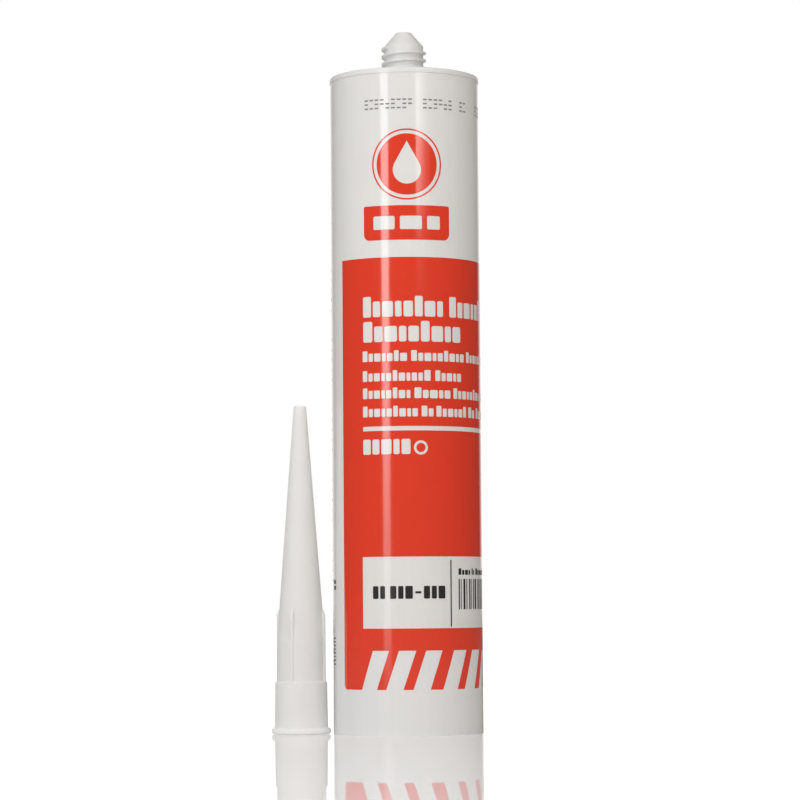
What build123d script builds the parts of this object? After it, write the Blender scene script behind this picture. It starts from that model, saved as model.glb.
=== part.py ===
"""A 310 ml sealant cartridge that stands on its open rear end, with its nozzle taken off beside it.

Millimetres, +Z up. The origin is on the tube's axis, in the plane of its rear rim. The print's
middle faces -Y, and the loose nozzle stands on the -X side.
"""

import os

from build123d import *

# Tube: an extruded barrel, open at the rear and closed by the head in front.
overall_shoulder_height = 216.0
tube_diameter = 49.0
tube_wall = 1.2

# Head: a moulded disc, welded on the tube's front end, with the threaded outlet in its middle.
head_thickness = 1.7
head_overhang = 0.175
head_edge_radius = 0.6
spigot_length = 3.0
spigot_wall = 1.25
spigot_clearance = 0.05

# Outlet: a hollow threaded neck with a closed conical tip, which is cut off before use.
outlet_height = 15.5
outlet_straight = 10.9
outlet_root_diameter = 13.0
outlet_wall = 1.2
outlet_tip_diameter = 5.1
outlet_tip_wall = 1.2
outlet_foot_overhang = 0.3
outlet_foot_height = 0.4

# Thread: one start, right hand, with the same ridge form on the outlet and inside the nozzle.
thread_pitch = 2.5
thread_depth = 0.9
ridge_foot = 1.5
ridge_crest = 0.5
ridge_sink = 0.3
thread_lead_in = 1.2
thread_run_out = 0.7
thread_clearance = 0.15

# Piston: a moulded cup with a sealing lip at each end and ribs behind its crown.
piston_recess = 11.0
piston_length = 20.0
piston_lip = 1.5
piston_clearance = 0.08
piston_groove = 0.5
piston_wall = 1.3
piston_crown_rise = 2.0
piston_crown_wall = 1.8
piston_crown_inset = 1.75
piston_rib_depth = 2.0
piston_rib_thickness = 1.2
piston_rib_count = 8
piston_rib_sink = 0.3
piston_hub_diameter = 12.0
piston_hub_wall = 1.4

# Sealant: the contents, which fill the space from the piston to the outlet's tip.
sealant_clearance = 0.05
sealant_piston_gap = 0.2

# Nozzle: a moulded cone with a collar, a rounded bead at its mouth and four grip fins.
nozzle_gap = 0.95
nozzle_length = 107.5
nozzle_bead_overhang = 0.95
nozzle_bead_height = 2.1
nozzle_bead_radius = 0.9
nozzle_wall = 1.0
mouth_length = 1.5
mouth_clearance = 0.35
collar_wall = 0.95
collar_draft = 0.2
collar_height = 16.8
collar_ledge = 0.6
cone_start = 30.0
tip_diameter = 4.1
tip_bore_diameter = 2.0
tip_bore_length = 3.0
tip_edge_radius = 0.5
fin_count = 4
fin_turn = -110.0
fin_thickness = 0.9
fin_top = 38.5
fin_slope = 2.5
fin_sink = 0.4

tube_radius = tube_diameter / 2
bore_radius = tube_radius - tube_wall
tube_length = overall_shoulder_height - head_thickness
outlet_root_radius = outlet_root_diameter / 2
outlet_thread_height = outlet_straight - thread_lead_in - thread_run_out
thread_crest_radius = outlet_root_radius + thread_depth
outlet_foot_radius = thread_crest_radius + outlet_foot_overhang

os.makedirs("parts", exist_ok=True)


def hand_over(part, name):
    """Label a finished piece and write it as its own STEP file."""
    part.label = name
    export_step(part, f"parts/{name}.step")


def ridge_profile(axis_x, wall_radius, height, rise):
    """A thread ridge's section: its foot is sunk in a round wall, and its crest stands rise out of it."""
    sunk_radius = wall_radius - ridge_sink if rise > 0 else wall_radius + ridge_sink
    crest_radius = wall_radius + rise
    with BuildSketch(Plane(origin=(axis_x, 0, height), x_dir=(1, 0, 0), z_dir=(0, -1, 0))) as section:
        with BuildLine():
            Polyline(
                (sunk_radius, -ridge_foot / 2),
                (crest_radius, -ridge_crest / 2),
                (crest_radius, ridge_crest / 2),
                (sunk_radius, ridge_foot / 2),
                close=True,
            )
        make_face()
    return section.sketch


with BuildPart() as tube:
    with BuildSketch(Plane.XY):
        Circle(tube_radius)
        Circle(bore_radius, mode=Mode.SUBTRACT)
    extrude(amount=tube_length)
hand_over(tube.part, "tube")


spigot_radius = bore_radius - spigot_clearance
spigot_bore_radius = spigot_radius - spigot_wall
head_radius = tube_radius + head_overhang
outlet_bore_radius = outlet_root_radius - outlet_wall
outlet_base = overall_shoulder_height
outlet_cone_base = outlet_base + outlet_straight
outlet_top = outlet_base + outlet_height
outlet_cone_slope = (outlet_root_radius - outlet_tip_diameter / 2) / (outlet_height - outlet_straight)
outlet_bore_top = outlet_top - outlet_tip_wall
outlet_bore_tip_radius = outlet_bore_radius - outlet_cone_slope * (outlet_bore_top - outlet_cone_base)

with BuildPart() as head:
    with BuildSketch(Plane.XZ) as head_section:
        with BuildLine():
            Polyline(
                (spigot_bore_radius, tube_length - spigot_length),
                (spigot_radius, tube_length - spigot_length),
                (spigot_radius, tube_length),
                (head_radius, tube_length),
                (head_radius, outlet_base),
                (outlet_foot_radius, outlet_base),
                (outlet_foot_radius, outlet_base + outlet_foot_height),
                (outlet_root_radius, outlet_base + outlet_foot_height),
                (outlet_root_radius, outlet_cone_base),
                (outlet_tip_diameter / 2, outlet_top),
                (0, outlet_top),
                (0, outlet_bore_top),
                (outlet_bore_tip_radius, outlet_bore_top),
                (outlet_bore_radius, outlet_cone_base),
                (outlet_bore_radius, tube_length),
                (spigot_bore_radius, tube_length),
                close=True,
            )
        make_face()
        rim_corner = head_section.vertices().group_by(Axis.X)[-1].sort_by(Axis.Y)[-1]
        fillet(rim_corner, head_edge_radius)
    revolve(axis=Axis.Z)
    outlet_thread_base = outlet_base + thread_lead_in
    with BuildLine() as outlet_helix:
        Helix(thread_pitch, outlet_thread_height, outlet_root_radius, center=(0, 0, outlet_thread_base))
    sweep(
        ridge_profile(0, outlet_root_radius, outlet_thread_base, thread_depth),
        path=outlet_helix.line,
        is_frenet=True,
    )
hand_over(head.part, "head")


lip_radius = bore_radius - piston_clearance
piston_body_radius = lip_radius - piston_groove
cup_radius = piston_body_radius - piston_wall
piston_front = piston_recess + piston_length
crown_top = piston_front + piston_crown_rise
crown_foot_radius = spigot_bore_radius - piston_crown_inset / 2
crown_radius = crown_foot_radius - piston_crown_rise
crown_underside = piston_front - piston_crown_wall
rib_bottom = crown_underside - piston_rib_depth
cup_corner_radius = cup_radius - piston_rib_depth / 2

with BuildPart() as piston:
    with BuildSketch(Plane.XZ):
        with BuildLine():
            Polyline(
                (cup_radius, piston_recess),
                (lip_radius, piston_recess),
                (lip_radius, piston_recess + piston_lip),
                (piston_body_radius, piston_recess + 2 * piston_lip),
                (piston_body_radius, piston_front - 2 * piston_lip),
                (lip_radius, piston_front - piston_lip),
                (lip_radius, piston_front),
                (crown_foot_radius, piston_front),
                (crown_radius, crown_top),
                (0, crown_top),
                (0, crown_top - piston_crown_wall),
                (crown_radius - piston_crown_wall / 2, crown_top - piston_crown_wall),
                (crown_foot_radius - piston_crown_wall / 2, crown_underside),
                (cup_corner_radius, crown_underside),
                (cup_corner_radius, rib_bottom + piston_rib_depth / 2),
                (cup_radius, rib_bottom),
                close=True,
            )
        make_face()
    revolve(axis=Axis.Z)
    # The hub and the ribs hang from the crown's rear side, above the bore that takes the ram.
    with BuildSketch(Plane.XY.offset(rib_bottom)):
        Circle(piston_hub_diameter / 2)
        with PolarLocations(0, piston_rib_count):
            Rectangle(cup_corner_radius + piston_rib_sink, piston_rib_thickness,
                      align=(Align.MIN, Align.CENTER))
        Circle(piston_hub_diameter / 2 - piston_hub_wall, mode=Mode.SUBTRACT)
    extrude(until=Until.NEXT)
hand_over(piston.part, "piston")


sealant_radius = bore_radius - sealant_clearance
sealant_bottom = piston_front + sealant_piston_gap
sealant_neck_radius = spigot_bore_radius - sealant_clearance
sealant_outlet_radius = outlet_bore_radius - sealant_clearance
sealant_tip_radius = outlet_bore_tip_radius - sealant_clearance

with BuildPart() as sealant:
    with BuildSketch(Plane.XZ):
        with BuildLine():
            Polyline(
                (0, crown_top + sealant_piston_gap),
                (crown_radius + sealant_piston_gap, crown_top + sealant_piston_gap),
                (crown_foot_radius + sealant_piston_gap, sealant_bottom),
                (sealant_radius, sealant_bottom),
                (sealant_radius, tube_length - spigot_length - sealant_clearance),
                (sealant_neck_radius, tube_length - spigot_length - sealant_clearance),
                (sealant_neck_radius, tube_length),
                (sealant_outlet_radius, tube_length),
                (sealant_outlet_radius, outlet_cone_base),
                (sealant_tip_radius, outlet_bore_top),
                (0, outlet_bore_top),
                close=True,
            )
        make_face()
    revolve(axis=Axis.Z)
hand_over(sealant.part, "sealant")


thread_bore_radius = thread_crest_radius + thread_clearance
mouth_radius = outlet_foot_radius + mouth_clearance
collar_radius = thread_bore_radius + collar_wall
collar_base_radius = collar_radius + collar_draft
bead_radius = collar_base_radius + nozzle_bead_overhang
body_radius = collar_radius - collar_ledge
body_bore_radius = body_radius - nozzle_wall
nozzle_x = -(tube_radius + nozzle_gap + bead_radius)
nozzle_axis = Axis((nozzle_x, 0, 0), (0, 0, 1))
# Half a pitch above the outlet's ridge, so that the two ridges mesh when the nozzle is screwed home.
nozzle_thread_base = thread_lead_in + thread_pitch / 2
nozzle_thread_height = outlet_thread_height - thread_pitch / 2
nozzle_thread_rise = thread_depth - thread_clearance / 2
thread_bore_top = nozzle_thread_base + nozzle_thread_height + thread_pitch
body_bore_base = thread_bore_top + 2 * (thread_bore_radius - body_bore_radius)
tip_bore_base = nozzle_length - tip_bore_length

with BuildPart() as nozzle:
    with BuildSketch(Plane.XZ) as nozzle_section:
        with BuildLine():
            Polyline(
                (nozzle_x + mouth_radius, 0),
                (nozzle_x + bead_radius, 0),
                (nozzle_x + bead_radius, nozzle_bead_height),
                (nozzle_x + collar_base_radius, nozzle_bead_height),
                (nozzle_x + collar_radius, collar_height),
                (nozzle_x + body_radius, collar_height + collar_ledge),
                (nozzle_x + body_radius, cone_start),
                (nozzle_x + tip_diameter / 2, nozzle_length),
                (nozzle_x + tip_bore_diameter / 2, nozzle_length),
                (nozzle_x + tip_bore_diameter / 2, tip_bore_base),
                (nozzle_x + body_bore_radius, cone_start),
                (nozzle_x + body_bore_radius, body_bore_base),
                (nozzle_x + thread_bore_radius, thread_bore_top),
                (nozzle_x + thread_bore_radius, mouth_length),
                (nozzle_x + mouth_radius, mouth_length),
                close=True,
            )
        make_face()
        bead_corners = nozzle_section.vertices().group_by(Axis.X)[-1]
        fillet(bead_corners, nozzle_bead_radius)
        tip_corner = nozzle_section.vertices().group_by(Axis.Y)[-1].sort_by(Axis.X)[-1]
        fillet(tip_corner, tip_edge_radius)
    revolve(axis=nozzle_axis)
    with BuildLine() as nozzle_helix:
        Helix(thread_pitch, nozzle_thread_height, thread_bore_radius,
              center=(nozzle_x, 0, nozzle_thread_base))
    sweep(
        ridge_profile(nozzle_x, thread_bore_radius, nozzle_thread_base, -nozzle_thread_rise),
        path=nozzle_helix.line,
        is_frenet=True,
    )
    # Each fin stands on the collar's top, flush with the collar, and slopes in to the body above.
    for fin in range(fin_count):
        fin_angle = fin_turn + fin * 360 / fin_count
        fin_plane = Plane(origin=(nozzle_x, 0, 0), x_dir=Vector(1, 0, 0).rotate(Axis.Z, fin_angle),
                          z_dir=Vector(0, -1, 0).rotate(Axis.Z, fin_angle))
        with BuildSketch(fin_plane):
            with BuildLine():
                Polyline(
                    (body_radius - fin_sink, collar_height - fin_sink),
                    (collar_radius, collar_height - fin_sink),
                    (collar_radius, fin_top),
                    (body_radius - fin_sink, fin_top + fin_slope),
                    close=True,
                )
            make_face()
        extrude(amount=fin_thickness / 2, both=True)
hand_over(nozzle.part, "nozzle")
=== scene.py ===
import math

import bmesh
import bpy
from mathutils import Matrix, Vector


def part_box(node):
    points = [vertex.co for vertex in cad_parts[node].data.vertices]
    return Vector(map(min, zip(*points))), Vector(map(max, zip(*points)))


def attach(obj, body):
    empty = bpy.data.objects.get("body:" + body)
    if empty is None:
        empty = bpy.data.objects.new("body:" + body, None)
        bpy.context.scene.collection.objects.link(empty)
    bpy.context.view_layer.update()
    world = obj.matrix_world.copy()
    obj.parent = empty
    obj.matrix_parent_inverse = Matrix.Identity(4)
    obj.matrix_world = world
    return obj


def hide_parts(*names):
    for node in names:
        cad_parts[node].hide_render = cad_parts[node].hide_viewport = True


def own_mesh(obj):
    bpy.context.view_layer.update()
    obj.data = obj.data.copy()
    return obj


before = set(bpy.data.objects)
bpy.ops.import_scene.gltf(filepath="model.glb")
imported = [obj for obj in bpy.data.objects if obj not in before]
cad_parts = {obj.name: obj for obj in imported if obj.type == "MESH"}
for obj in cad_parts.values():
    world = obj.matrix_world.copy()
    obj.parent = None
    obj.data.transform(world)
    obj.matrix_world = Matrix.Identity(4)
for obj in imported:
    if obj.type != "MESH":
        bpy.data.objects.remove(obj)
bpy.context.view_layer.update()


# ---------------------------------------------------------------- Tube
# The barrel: white polyethylene tube, extruded and cut off square, 1.2 mm thick. It is glossy, with
# faint die lines along it. Where it is full, the sealant's warm tone shows a little through the wall.

tube_white = (0.80, 0.80, 0.795, 1)
tube_white_over_sealant = (0.80, 0.79, 0.77, 1)
die_line_spacing = 0.0016
die_line_length = 0.2


def feed(tree, socket, value):
    """Give a socket a value, or link another node's output to it."""
    if isinstance(value, bpy.types.NodeSocket):
        tree.links.new(value, socket)
    else:
        socket.default_value = value


def add(tree, kind, settings=None, **sockets):
    """Add a shader node, and feed its sockets by name."""
    node = tree.nodes.new("ShaderNode" + kind)
    for name, value in (settings or {}).items():
        setattr(node, name, value)
    for name, value in sockets.items():
        feed(tree, node.inputs[name.replace("_", " ")], value)
    return node


def new_finish(name):
    """An empty material, and its node tree."""
    finish = bpy.data.materials.new(name)
    finish.use_nodes = True
    finish.node_tree.nodes.clear()
    return finish, finish.node_tree


def show(tree, shader_output):
    """Make this shader the material's surface."""
    add(tree, "OutputMaterial", Surface=shader_output)


def grain(tree, sizes, detail=3.0):
    """Noise whose spots measure these sizes in metres along X, Y and Z. Gives 0 to 1."""
    place = add(tree, "TexCoord").outputs["Object"]
    scale = tuple(1 / size for size in sizes)
    scaled = add(tree, "Mapping", Vector=place, Scale=scale).outputs["Vector"]
    return add(tree, "TexNoise", Vector=scaled, Scale=1.0, Detail=detail).outputs["Fac"]


def span(tree, value, low, high, from_low=0.25, from_high=0.75):
    """Bring a value from one range to another."""
    return add(tree, "MapRange", Value=value, From_Min=from_low, From_Max=from_high,
               To_Min=low, To_Max=high).outputs["Result"]


def height_of(tree):
    """The height above the rear rim, in metres."""
    place = add(tree, "TexCoord").outputs["Object"]
    return add(tree, "SeparateXYZ", Vector=place).outputs["Z"]


def shaded(tree, colour, shade):
    """A colour darkened by a shade that is 1 where nothing changes."""
    grey = add(tree, "CombineColor", Red=shade, Green=shade, Blue=shade).outputs["Color"]
    return add(tree, "MixRGB", {"blend_type": "MULTIPLY"}, Fac=1.0, Color1=colour,
               Color2=grey).outputs["Color"]


def dress(node, finish):
    """Give a CAD node its finish."""
    for material_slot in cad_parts[node].material_slots:
        material_slot.material = finish


sealant_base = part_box("sealant")[0].z
tube_finish, tree = new_finish("tube_polyethylene")
full = span(tree, height_of(tree), 0.0, 1.0, sealant_base - 0.002, sealant_base + 0.004)
colour = add(tree, "MixRGB", Fac=full, Color1=tube_white,
             Color2=tube_white_over_sealant).outputs["Color"]
die_lines = grain(tree, (die_line_spacing, die_line_spacing, die_line_length))
handling = grain(tree, (0.009, 0.009, 0.02), 6.0)
bump = add(tree, "Bump", Height=die_lines, Strength=0.06, Distance=0.00003)
show(tree, add(
    tree, "BsdfPrincipled",
    Base_Color=shaded(tree, colour, span(tree, die_lines, 0.975, 1.0)),
    Roughness=span(tree, handling, 0.10, 0.15),
    IOR=1.5,
    Specular_IOR_Level=0.5,
    Subsurface_Weight=0.1,
    Subsurface_Radius=(1.0, 0.9, 0.75),
    Subsurface_Scale=0.0012,
    Normal=bump.outputs["Normal"],
).outputs["BSDF"])
dress("tube", tube_finish)


# ---------------------------------------------------------------- Print
# Screen print on the barrel: a glossy red field with white left bare in it, and dark and grey marks.
# Each ink is a closed film a few hundredths of a millimetre thick. Places are (round, up) in mm:
# round runs along the surface from the front's middle, to the right as seen from outside.

tube_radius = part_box("tube")[1].x
film_foot = 0.000005
film_top = 0.00003
film_step = 0.6
field_left, field_right = -24.4, 74.0
field_bottom, field_top = 14.8, 154.0
text_left = -14.95


def rounded(left, right, bottom, top, radius, corner_points=5):
    """The outline of a plate with rounded corners. The radius may be one size or four, from the
    lower left corner round to the right."""
    radii = radius if isinstance(radius, tuple) else (radius,) * 4
    corners = ((left, bottom, 180), (right, bottom, 270), (right, top, 0), (left, top, 90))
    outline = []
    for (x, y, start), r in zip(corners, radii):
        centre_x = x + r if x == left else x - r
        centre_y = y + r if y == bottom else y - r
        for step in range(corner_points + 1):
            turn = math.radians(start + 90 * step / corner_points)
            outline.append((centre_x + r * math.cos(turn), centre_y + r * math.sin(turn)))
    return outline


def ring(x, y, radius, points=64):
    """A round outline."""
    turns = [2 * math.pi * k / points for k in range(points)]
    return [(x + radius * math.cos(turn), y + radius * math.sin(turn)) for turn in turns]


def blocks(left, right, bottom, height, count, gap, low_share=0.76):
    """A word as plain blocks of four widths in turn. Every fifth has the full height, and the rest
    are lower."""
    shares = [(1.0, 0.85, 1.2, 0.7)[k % 4] for k in range(count)]
    unit = (right - left - gap * (count - 1)) / sum(shares)
    made = []
    for k, share in enumerate(shares):
        top = bottom + height * (1 if k % 5 == 0 else low_share)
        made.append(rounded(left, left + unit * share, bottom, top, unit * 0.18, 3))
        left += unit * share + gap
    return made


def print_film(name, outlines, finish):
    """Fill flat outlines, where an outline inside another is a hole, cut them into narrow upright
    strips, give them a thickness and wrap them round the barrel."""
    curve = bpy.data.curves.new(name, "CURVE")
    curve.dimensions = "2D"
    curve.fill_mode = "BOTH"
    for outline in outlines:
        spline = curve.splines.new("POLY")
        spline.points.add(len(outline) - 1)
        for point, (x, y) in zip(spline.points, outline):
            point.co = (x, y, 0, 1)
        spline.use_cyclic_u = True
    flat = bpy.data.objects.new(name + "_flat", curve)
    bpy.context.scene.collection.objects.link(flat)
    mesh = bpy.data.meshes.new_from_object(flat)
    bpy.data.objects.remove(flat)

    work = bmesh.new()
    work.from_mesh(mesh)
    bmesh.ops.remove_doubles(work, verts=work.verts[:], dist=0.0005)
    first = math.floor(min(x for outline in outlines for x, y in outline) / film_step) + 1
    last = math.ceil(max(x for outline in outlines for x, y in outline) / film_step)
    for cut in range(first, last):
        bmesh.ops.bisect_plane(work, geom=work.verts[:] + work.edges[:] + work.faces[:], dist=0.0001,
                               plane_co=(cut * film_step, 0, 0), plane_no=(1, 0, 0))
    bmesh.ops.remove_doubles(work, verts=work.verts[:], dist=0.002)
    bmesh.ops.dissolve_degenerate(work, edges=work.edges[:], dist=0.002)
    bmesh.ops.triangulate(work, faces=work.faces[:])
    for vertex in work.verts:
        vertex.co.z = film_foot
    raised = bmesh.ops.extrude_face_region(work, geom=work.faces[:])["geom"]
    for vertex in raised:
        if isinstance(vertex, bmesh.types.BMVert):
            vertex.co.z = film_top
    bmesh.ops.recalc_face_normals(work, faces=work.faces[:])
    for vertex in work.verts:
        around, up, lift = vertex.co.x / 1000 / tube_radius, vertex.co.y / 1000, vertex.co.z
        radius = tube_radius + lift
        vertex.co = (radius * math.sin(around), -radius * math.cos(around), up)
    work.to_mesh(mesh)
    work.free()

    normals = []
    for polygon in mesh.polygons:
        radii = [math.hypot(*mesh.vertices[v].co.xy) for v in polygon.vertices]
        outer = min(radii) > tube_radius + (film_foot + film_top) / 2
        polygon.use_smooth = outer
        for v in polygon.vertices:
            x, y, z = mesh.vertices[v].co
            normals.append((x, y, 0) if outer else tuple(polygon.normal))
    mesh.normals_split_custom_set(normals)
    mesh.materials.clear()
    mesh.materials.append(finish)
    film = bpy.data.objects.new(name, mesh)
    bpy.context.scene.collection.objects.link(film)
    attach(film, "cartridge")
    return film


def ink_finish(name, colour, roughness, specular):
    """Screen ink: even, with slightly denser and thinner places, and a fine weave from the screen."""
    finish, tree = new_finish(name)
    density = grain(tree, (0.012, 0.012, 0.03), 5.0)
    weave = grain(tree, (0.0003, 0.0003, 0.0003), 1.0)
    bump = add(tree, "Bump", Height=weave, Strength=0.04, Distance=0.00001)
    show(tree, add(
        tree, "BsdfPrincipled",
        Base_Color=shaded(tree, colour, span(tree, density, 0.955, 1.0)),
        Roughness=span(tree, density, roughness * 1.2, roughness * 0.85),
        IOR=1.5,
        Specular_IOR_Level=specular,
        Normal=bump.outputs["Normal"],
    ).outputs["BSDF"])
    return finish


# The field's lower edge runs in and out of two groups of leaning bars, open to the bare tube below.
bar_width, bar_gap, bar_lean, bar_top = 5.6, 3.2, 4.2, 27.3
field_edge = [(field_left, field_top), (field_left, field_bottom + 1.4),
              (field_left + 0.4, field_bottom + 0.4), (field_left + 1.4, field_bottom)]
for group_left in (-16.0, 11.6, 39.2):
    for bar in range(3):
        left = group_left + bar * (bar_width + bar_gap)
        field_edge += [(left, field_bottom), (left + bar_lean, bar_top),
                       (left + bar_lean + bar_width, bar_top), (left + bar_width, field_bottom)]
field_edge += [(field_right, field_bottom), (field_right, field_top)]

bare = []
for left, right, count in ((-14.7, 12.6, 8), (15.0, 34.0, 6), (36.2, 60.0, 8)):
    bare += blocks(left, right, 134.7, 6.7, count, 0.6)
bare += blocks(-14.7, 19.7, 126.6, 6.7, 9, 0.6)
for bottom, words in (
    (120.3, ((text_left, 0.3, 7), (1.6, 21.3, 9), (22.5, 38.0, 8))),
    (113.9, ((text_left, 8.0, 11), (9.6, 19.9, 5))),
    (108.3, ((text_left, 1.3, 8), (2.6, 15.2, 5), (16.4, 36.0, 10))),
    (102.4, ((text_left, 3.7, 9), (4.9, 8.9, 2), (9.9, 22.3, 6), (23.5, 27.5, 2), (28.8, 44.0, 8))),
):
    for left, right, count in words:
        bare += blocks(left, right, bottom, 3.5, count, 0.42)
bare.append(rounded(text_left, 62.0, 97.9, 99.35, 0.1))
bare += blocks(text_left, 1.2, 90.3, 4.9, 5, 0.6, 1.0)
bare += [ring(4.6, 92.4, 2.3, 40)]
bare.append(rounded(-15.4, 62.0, 34.4, 57.4, 0.25))

# The maker's mark is left out. A plain roundel with a drop, and a bar with three dashes, stand there.
mark_x, mark_z = 0.7, 184.2
drop = [(mark_x, mark_z + 7.6)]
for step in range(33):
    turn = math.radians(28 - 236 * step / 32)
    drop.append((mark_x + 4.6 * math.cos(turn), mark_z - 1.8 + 4.6 * math.sin(turn)))
marks = [ring(mark_x, mark_z, 11.6, 96), ring(mark_x, mark_z, 11.1, 96),
         ring(mark_x, mark_z, 10.0, 96), drop,
         rounded(-14.1, 15.2, 159.6, 170.8, (2.2, 2.2, 0.6, 0.6), 8)]
for left, right in ((-10.6, -3.4), (-1.7, 5.5), (7.2, 11.7)):
    marks.append(rounded(left, right, 163.0, 167.4, 0.5))

red_ink = ink_finish("ink_red", (0.80, 0.052, 0.022, 1), 0.11, 0.85)
print_film("print_red", [field_edge, ring(4.6, 92.4, 1.5, 40)] + bare + marks, red_ink)

# Dark ink: a row of blocks, a divider and plain stripes in the white panel, and lines on the back.
dark = [rounded(14.6, 15.05, 34.9, 56.3, 0.1)]
for left, right, count in ((-11.6, -7.4, 2), (-5.7, 1.6, 3), (5.2, 12.6, 3)):
    dark += blocks(left, right, 43.9, 4.1, count, 0.6, 1.0)
dark.append(rounded(2.4, 4.4, 45.6, 46.3, 0.2))
for left, right, count in ((18.0, 23.8, 4), (24.8, 26.4, 2), (27.4, 38.0, 7)):
    dark += blocks(left, right, 51.5, 2.1, count, 0.4)
stripe_left = 18.0
for stripe, width in enumerate((0.5, 0.3, 0.9, 0.4, 0.7, 0.3, 0.5, 1.0, 0.3, 0.6, 0.4, 0.9, 0.3, 0.5)):
    dark.append(rounded(stripe_left, stripe_left + width, 40.4, 50.2, 0.04))
    stripe_left += width + (0.5, 0.9, 0.6, 1.1)[stripe % 4]
back_left, back_right, back_edge = 80.5, 118.0, 123.0
back_bottom, back_lines, lines_in_a_group = 20.0, 42, 7
line_pitch, line_height, word_pitch, word_width = 3.3, 0.8, 7.6, 5.0
for line in range(back_lines):
    place_in_group = line % lines_in_a_group
    if place_in_group == lines_in_a_group - 1:
        continue
    bottom = back_bottom + line * line_pitch
    for word in range(5 if place_in_group else 3):
        left = back_left + word * word_pitch + (line * 7 % 5) * 0.25
        right = min(left + word_width + (line * 3 + word * 5) % 4 * 0.5, back_right)
        dark.append(rounded(left, right, bottom, bottom + line_height, 0.25, 2))
for bottom in (47.0, 48.9):
    dark.append(rounded(back_edge - 2.6, back_edge, bottom, bottom + 1.3, 0.2, 2))
for step in range(8):
    bottom = 22.6 + step * 1.2
    dark.append(rounded(back_edge - 3.2, back_edge - 0.9, bottom, bottom + 0.55, 0.2, 2))
print_film("print_dark", dark, ink_finish("ink_dark", (0.03, 0.028, 0.026, 1), 0.22, 0.5))

# Grey ink: the jet printer's row of small dashes, high on the barrel.
dashes = []
for left, count in ((-13.6, 9), (6.1, 6), (20.1, 2), (30.2, 5)):
    for cell in range(count):
        start = left + cell * 1.85
        for level in ((0, 1, 2), (0, 2), (0, 1, 2), (1, 2), (0, 1))[cell % 5]:
            bottom = 202.4 + level * 1.35
            dashes.append(rounded(start, start + 1.35, bottom, bottom + 0.5, 0.2, 2))
print_film("print_grey", dashes, ink_finish("ink_grey", (0.26, 0.26, 0.25, 1), 0.3, 0.4))


# ---------------------------------------------------------------- Head
# The front end: moulded polyethylene, welded on the barrel, with the threaded outlet and its closed
# tip. It is satin, a little less white than the barrel, and thin enough to take some light.

head_finish, tree = new_finish("head_polyethylene")
flow = grain(tree, (0.012, 0.012, 0.016), 1.0)
pores = grain(tree, (0.0005, 0.0005, 0.0005), 1.0)
bump = add(tree, "Bump", Height=pores, Strength=0.05, Distance=0.00001)
show(tree, add(
    tree, "BsdfPrincipled",
    Base_Color=shaded(tree, (0.80, 0.795, 0.785, 1), span(tree, flow, 0.97, 1.0, 0.0, 1.0)),
    Roughness=span(tree, flow, 0.25, 0.32, 0.0, 1.0),
    IOR=1.5,
    Subsurface_Weight=0.12,
    Subsurface_Radius=(1.0, 0.92, 0.8),
    Subsurface_Scale=0.0015,
    Normal=bump.outputs["Normal"],
).outputs["BSDF"])
dress("head", head_finish)


# ---------------------------------------------------------------- Piston
# The plunger: a moulded polyethylene cup that the gun's ram pushes. It is satin white, with the rings
# that the turning of its mould left on it.

piston_finish, tree = new_finish("piston_polyethylene")
place = add(tree, "TexCoord").outputs["Object"]
rings = add(tree, "TexWave", {"wave_type": "RINGS", "rings_direction": "Z"}, Vector=place,
            Scale=700.0, Distortion=0.6, Detail=2.0).outputs["Fac"]
flow = grain(tree, (0.004, 0.004, 0.004), 4.0)
bump = add(tree, "Bump", Height=rings, Strength=0.1, Distance=0.00002)
show(tree, add(
    tree, "BsdfPrincipled",
    Base_Color=shaded(tree, (0.79, 0.79, 0.775, 1), span(tree, flow, 0.95, 1.0)),
    Roughness=span(tree, flow, 0.3, 0.42),
    IOR=1.5,
    Subsurface_Weight=0.2,
    Subsurface_Radius=(1.0, 0.92, 0.8),
    Subsurface_Scale=0.002,
    Normal=bump.outputs["Normal"],
).outputs["BSDF"])
dress("piston", piston_finish)


# ---------------------------------------------------------------- Sealant
# The contents: a white paste that fills the barrel from the piston's crown to the head, and the
# outlet up to its tip. It is built at one length and does not shorten as the piston comes forward.

head_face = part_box("tube")[1].z * 1000
fill_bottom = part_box("sealant")[0].z * 1000
fill_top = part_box("sealant")[1].z * 1000
crown_clearance_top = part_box("piston")[1].z * 1000 + 0.2
fill_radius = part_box("sealant")[1].x * 1000
spigot_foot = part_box("head")[0].z * 1000
neck_radius = fill_radius - 1.3
outlet_radius = 5.25
outlet_cone_base = fill_top - 3.4
outlet_tip_radius = 2.3


def turned(name, profile, sections, waviness, finish):
    """A solid turned about the tube's axis from (radius, height) points in mm that start and end on
    the axis, with its surface slightly uneven."""
    mesh = bpy.data.meshes.new(name)
    work = bmesh.new()
    rings_made = []
    for r, z in profile:
        if r == 0:
            rings_made.append([work.verts.new((0, 0, z / 1000))])
            continue
        loop = []
        for k in range(sections):
            turn = 2 * math.pi * k / sections
            uneven = r - waviness * (0.5 + 0.5 * math.sin(5 * turn + z) * math.cos(3 * turn - 0.4 * z))
            loop.append(work.verts.new((uneven / 1000 * math.cos(turn), uneven / 1000 * math.sin(turn),
                                        z / 1000)))
        rings_made.append(loop)
    for lower, upper in zip(rings_made, rings_made[1:]):
        for k in range(sections):
            corners = [lower[k % len(lower)], lower[(k + 1) % len(lower)],
                       upper[(k + 1) % len(upper)], upper[k % len(upper)]]
            work.faces.new(list(dict.fromkeys(corners)))
    bmesh.ops.recalc_face_normals(work, faces=work.faces[:])
    work.to_mesh(mesh)
    work.free()
    mesh.polygons.foreach_set("use_smooth", [True] * len(mesh.polygons))
    mesh.set_sharp_from_angle(angle=math.radians(35))
    mesh.materials.append(finish)
    solid = bpy.data.objects.new(name, mesh)
    bpy.context.scene.collection.objects.link(solid)
    return solid


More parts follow.
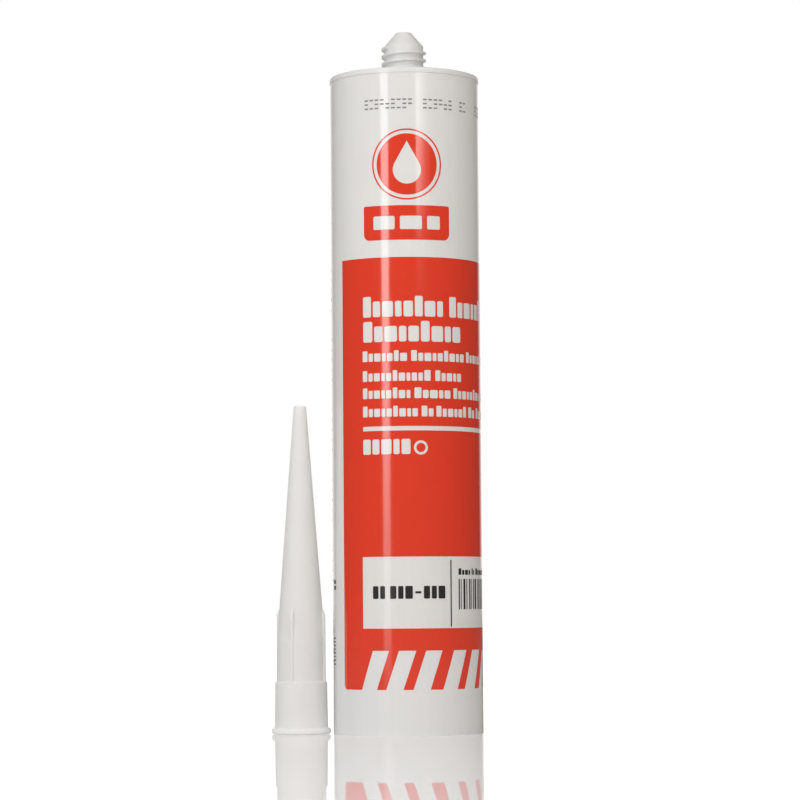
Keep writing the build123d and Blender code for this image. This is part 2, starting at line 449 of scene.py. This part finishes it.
paste_finish, tree = new_finish("sealant_paste")
swirl = grain(tree, (0.004, 0.004, 0.012), 6.0)
bump = add(tree, "Bump", Height=swirl, Strength=0.35, Distance=0.0003)
show(tree, add(
    tree, "BsdfPrincipled",
    Base_Color=shaded(tree, (0.82, 0.80, 0.75, 1), span(tree, swirl, 0.93, 1.0)),
    Roughness=span(tree, swirl, 0.28, 0.4),
    IOR=1.41,
    Subsurface_Weight=0.4,
    Subsurface_Radius=(1.0, 0.9, 0.7),
    Subsurface_Scale=0.003,
    Normal=bump.outputs["Normal"],
).outputs["BSDF"])

fill_profile = [(0, crown_clearance_top), (10, crown_clearance_top), (19.3, crown_clearance_top),
                (21.3, fill_bottom), (fill_radius, fill_bottom)]
fill_steps = 24
for step in range(1, fill_steps):
    fill_profile.append((fill_radius,
                         fill_bottom + (spigot_foot - 0.05 - fill_bottom) * step / fill_steps))
fill_profile += [(fill_radius, spigot_foot - 0.05), (neck_radius, spigot_foot - 0.05),
                 (neck_radius, head_face - 0.02), (10, head_face - 0.02), (0, head_face - 0.02)]
filling = turned("sealant_filling", fill_profile, 96, 0.03, paste_finish)
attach(filling, "cartridge")
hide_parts("sealant")
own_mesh(filling)

plug_profile = [(0, head_face), (outlet_radius, head_face)]
plug_steps = 8
for step in range(1, plug_steps):
    plug_profile.append((outlet_radius, head_face + (outlet_cone_base - head_face) * step / plug_steps))
plug_profile += [(outlet_radius, outlet_cone_base), (outlet_tip_radius, fill_top), (0, fill_top)]
plug = turned("sealant_in_outlet", plug_profile, 48, 0.03, paste_finish)
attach(plug, "cartridge")
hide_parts("sealant")


# ---------------------------------------------------------------- Nozzle
# The cone to be screwed on the outlet, moulded in unpigmented polyethylene: milky, satin, and clear
# enough for light to pass, most of all through its four thin fins.

nozzle_milk = (0.97, 0.965, 0.955, 1)
light_through_wall = 0.4


def mixed(tree, share, first, second):
    """A mix of two shaders, which is all the first one where the share is 0."""
    mix = add(tree, "MixShader", Fac=share)
    feed(tree, mix.inputs[1], first)
    feed(tree, mix.inputs[2], second)
    return mix.outputs["Shader"]


nozzle_finish, tree = new_finish("nozzle_polyethylene")
flow = grain(tree, (0.005, 0.005, 0.03), 4.0)
pores = grain(tree, (0.0005, 0.0005, 0.0008), 2.0)
bump = add(tree, "Bump", Height=pores, Strength=0.08, Distance=0.00002)
milk = shaded(tree, nozzle_milk, span(tree, flow, 0.97, 1.0))
skin = add(
    tree, "BsdfPrincipled",
    Base_Color=milk,
    Roughness=span(tree, flow, 0.34, 0.44),
    IOR=1.5,
    Specular_IOR_Level=0.4,
    Subsurface_Weight=0.15,
    Subsurface_Radius=(1.0, 0.97, 0.93),
    Subsurface_Scale=0.002,
    Normal=bump.outputs["Normal"],
).outputs["BSDF"]
through = add(tree, "BsdfTranslucent", Color=milk, Normal=bump.outputs["Normal"]).outputs["BSDF"]
show(tree, mixed(tree, light_through_wall, skin, through))
dress("nozzle", nozzle_finish)


# ---------------------------------------------------------------- Floor and surroundings
# A polished white sheet that mirrors what stands on it, more at a low angle, and runs to plain white
# away from it. It is clear from below and cut out under the tube's and the nozzle's mouths, so that
# the underside can be looked at.

floor_half_side = 8.0
floor_drop = 0.00002
floor_rim_cover = 0.0001
floor_white = (0.92, 0.92, 0.92, 1)
# Painted shade: in glossy reflections the floor's colour is a dark grey instead of its white, so the
# parts reflect a darkened floor.
floor_painted_dark_in_gloss = (0.3, 0.3, 0.3, 1)
plain_white_near, plain_white_far = 0.1, 1.0
plain_white_start, plain_white_end = 0.35, 1.1
mirror_share = 0.62
mirror_facing_low, mirror_facing_full = 0.2, 0.83

floor_mesh = bpy.data.meshes.new("floor")
work = bmesh.new()
bmesh.ops.create_grid(work, x_segments=16, y_segments=16, size=floor_half_side)
work.to_mesh(floor_mesh)
work.free()
floor = bpy.data.objects.new("floor", floor_mesh)
floor.location.z = -floor_drop
bpy.context.scene.collection.objects.link(floor)
floor_finish, tree = new_finish("floor_polished_white")
place = add(tree, "TexCoord").outputs["Object"]


def worked_out(tree, operation, first, second):
    """The result of arithmetic on two numbers, kept between 0 and 1."""
    node = add(tree, "Math", {"operation": operation, "use_clamp": True})
    feed(tree, node.inputs[0], first)
    feed(tree, node.inputs[1], second)
    return node.outputs["Value"]


def distance_from(centre):
    """How far a point of the floor is from this one."""
    away = add(tree, "VectorMath", {"operation": "DISTANCE"}, Vector=place)
    feed(tree, away.inputs[1], (centre.x, centre.y, 0))
    return away.outputs["Value"]


# The sheet itself, which turns to plain white far from the tube where it is looked at.
light_path = add(tree, "LightPath").outputs
middle = (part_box("tube")[0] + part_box("tube")[1]) / 2
far = span(tree, distance_from(middle), plain_white_near, plain_white_far,
           plain_white_start, plain_white_end)
plain_share = worked_out(tree, "MULTIPLY", far, light_path["Is Camera Ray"])
# Glossy rays see the floor in the painted dark grey. This is painted shade in the parts' reflections of
# the floor.
white = add(tree, "MixRGB", Fac=light_path["Is Glossy Ray"], Color1=floor_white,
            Color2=floor_painted_dark_in_gloss).outputs["Color"]
body = add(tree, "BsdfDiffuse", Color=white).outputs["BSDF"]
plain_white = add(tree, "Emission", Color=(1, 1, 1, 1), Strength=1.0).outputs["Emission"]
pale = mixed(tree, plain_share, body, plain_white)

# Its polish, which is strongest at a low angle and does not show again in the barrel's own gloss.
polish = add(tree, "BsdfGlossy", Color=(1, 1, 1, 1), Roughness=0.0).outputs["BSDF"]
facing = add(tree, "Fresnel", IOR=1.45).outputs["Fac"]
mirror = span(tree, facing, 0.0, mirror_share, mirror_facing_low, mirror_facing_full)
not_in_gloss = worked_out(tree, "SUBTRACT", 1.0, light_path["Is Glossy Ray"])
polished = mixed(tree, worked_out(tree, "MULTIPLY", mirror, not_in_gloss), pale, polish)

# Where it is clear: from below, and inside the two mouths.
clear = add(tree, "NewGeometry").outputs["Backfacing"]
for standing in ("tube", "nozzle"):
    low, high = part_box(standing)
    mouth_radius = (high.x - low.x) / 2 - floor_rim_cover
    in_mouth = worked_out(tree, "LESS_THAN", distance_from((low + high) / 2), mouth_radius)
    clear = worked_out(tree, "MAXIMUM", clear, in_mouth)
opening = add(tree, "BsdfTransparent").outputs["BSDF"]
show(tree, mixed(tree, clear, polished, opening))
floor_mesh.materials.append(floor_finish)

# The room: white where it is seen, seen through or mirrored in the floor. The plastic, which is not
# so sharp a mirror, finds one white sheet behind the object and a dark studio round it. A soft light
# comes from all round, stronger from the left and a little warm from the right.
room_left = (0.38, 0.38, 0.385, 1)
room_right = (0.39, 0.355, 0.32, 1)
dark_studio = (0.06, 0.06, 0.06, 1)
white_sheet = (1, 1, 1, 1)
floor_mirror_white = (1.4, 1.4, 1.4, 1)

world = bpy.data.worlds.new("studio")
bpy.context.scene.world = world
world.use_nodes = True
tree = world.node_tree
tree.nodes.clear()
direction = add(tree, "SeparateXYZ", Vector=add(tree, "TexCoord").outputs["Generated"]).outputs
side = span(tree, direction["X"], 0.0, 1.0, -0.9, 0.9)
room = add(tree, "MixRGB", Fac=side, Color1=room_left, Color2=room_right).outputs["Color"]
light_path = add(tree, "LightPath").outputs
behind_in_gloss = span(tree, direction["Y"], 0.0, 1.0, 0.86, 0.96)
satin_view = add(tree, "MixRGB", Fac=behind_in_gloss, Color1=dark_studio,
                 Color2=white_sheet).outputs["Color"]
behind_as_light = span(tree, direction["Y"], 0.0, 1.0, 0.5, 0.95)
soft_light = add(tree, "MixRGB", Fac=behind_as_light, Color1=room, Color2=white_sheet).outputs["Color"]
surround = add(tree, "MixRGB", Fac=light_path["Is Glossy Ray"], Color1=soft_light,
               Color2=satin_view).outputs["Color"]
direct = worked_out(tree, "ADD", light_path["Is Camera Ray"], light_path["Is Transmission Ray"])
white_share = worked_out(tree, "ADD", direct, light_path["Is Singular Ray"])
sheet = add(tree, "MixRGB", Fac=light_path["Is Singular Ray"], Color1=white_sheet,
            Color2=floor_mirror_white).outputs["Color"]
backdrop = add(tree, "MixRGB", Fac=white_share, Color1=surround, Color2=sheet).outputs["Color"]
glow = add(tree, "Background", Color=backdrop, Strength=1.0).outputs["Background"]
add(tree, "OutputWorld", Surface=glow)


# ---------------------------------------------------------------- Lamps
# A tall strip softbox on the left, which fades towards the floor, a broad softbox high on the right,
# and a large soft one overhead. None of them is seen itself.

def softbox(name, bearing, distance, bottom, top, width, level, colour=(1, 1, 1)):
    """An upright area lamp that stands at a bearing in degrees, counted from the camera's side to
    the right, and faces the tube. Its level is the brightness of its face."""
    height = top - bottom
    turn = math.radians(bearing)
    lamp = bpy.data.lights.new(name, "AREA")
    lamp.shape = "RECTANGLE"
    lamp.size = width
    lamp.size_y = height
    lamp.energy = level * math.pi * width * height
    lamp.color = colour
    stand = bpy.data.objects.new(name, lamp)
    upright = Matrix.Rotation(math.radians(90), 4, "X")
    faced = Matrix.Rotation(turn, 4, "Z")
    centre = (bottom + top) / 2
    stand.matrix_world = Matrix.Translation((distance * math.sin(turn), -distance * math.cos(turn),
                                             centre)) @ faced @ upright
    stand.visible_camera = False
    bpy.context.scene.collection.objects.link(stand)
    return lamp


def fade(lamp, axis, low_level, from_low, from_high):
    """Make a softbox darker towards one end of its face: axis X runs across it, and Y up it."""
    lamp.use_nodes = True
    tree = lamp.node_tree
    tree.nodes.clear()
    face = add(tree, "SeparateXYZ", Vector=add(tree, "NewGeometry").outputs["Parametric"]).outputs
    level = span(tree, face[axis], low_level, 1.0, from_low, from_high)
    glow = add(tree, "Emission", Color=(*lamp.color, 1), Strength=level).outputs["Emission"]
    add(tree, "OutputLight", Surface=glow)


strip = softbox("strip", -30.9, 1.12, 0.0, 0.62, 0.22, 5.0)
fade(strip, "Y", 0.28, 0.05, 0.42)
broad = softbox("broad", 27.7, 1.12, 0.32, 1.0, 0.4, 5.2, (1.0, 0.985, 0.96))
fade(broad, "X", 0.12, 0.75, 0.0)

overhead_side, overhead_power = 1.2, 8.5
overhead_distance, overhead_lean, overhead_bearing = 1.5, 38, -18
overhead = bpy.data.lights.new("overhead", "AREA")
overhead.shape = "RECTANGLE"
overhead.size, overhead.size_y = overhead_side, overhead_side
overhead.energy = overhead_power
overhead_stand = bpy.data.objects.new("overhead", overhead)
overhead_stand.matrix_world = (Matrix.Rotation(math.radians(overhead_bearing), 4, "Z")
                               @ Matrix.Rotation(math.radians(overhead_lean), 4, "X")
                               @ Matrix.Translation((0, 0, overhead_distance)))
overhead_stand.visible_camera = False
bpy.context.scene.collection.objects.link(overhead_stand)


# ---------------------------------------------------------------- Camera
# A long lens on a full frame, 1 m in front of the tube and close above the floor. It is tipped up a
# little, so that it looks along the floor and sees the head's rim from below.

camera_place = (-0.00206, -0.9895, 0.04314)
camera_tip_up, camera_roll = 3.828, -0.414
lens = bpy.data.cameras.new("camera")
lens.lens = 135.3
lens.sensor_width = 36.0
camera = bpy.data.objects.new("camera", lens)
camera.matrix_world = (Matrix.Translation(camera_place)
                       @ Matrix.Rotation(math.radians(90 + camera_tip_up), 4, "X")
                       @ Matrix.Rotation(math.radians(camera_roll), 4, "Z"))
bpy.context.scene.collection.objects.link(camera)
bpy.context.scene.camera = camera
bpy.context.scene.view_settings.view_transform = "Standard"
